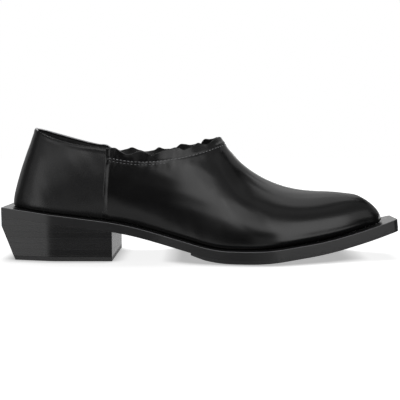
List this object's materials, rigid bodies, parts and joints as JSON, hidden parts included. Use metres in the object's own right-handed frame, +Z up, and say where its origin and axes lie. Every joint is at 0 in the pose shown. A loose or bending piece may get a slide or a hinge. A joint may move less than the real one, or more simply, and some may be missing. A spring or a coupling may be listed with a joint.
{
  "type": "slip-on shoe",
  "caption": "Low black leather slip-on shoe with a gathered collar, a soft back, a long toe cut square at its tip, a projecting sole edge and an undercut block heel.",
  "frame": {"origin": "on the floor, under the middle of the shoe's overall box", "axes": "+X towards the toe, -Y towards the outer (lateral) side, +Z up"},
  "size_m": [0.292, 0.0916, 0.0958],
  "materials": {
    "upper_leather": "polished black vamp, softer back",
    "sock_leather": "matt black",
    "sole_leather": "blackened waxed edge",
    "sole_rubber": "matt black",
    "heel_stack": "stacked layers, blackened and waxed",
    "heel_rubber": "matt black"
  },
  "bodies": {
    "root": {"upper": "upper_leather", "insole": "sock_leather", "outsole": "sole_leather", "half_sole": "sole_rubber", "heel_block": "heel_stack", "heel_lift": "heel_rubber"}
  },
  "joints": []
}
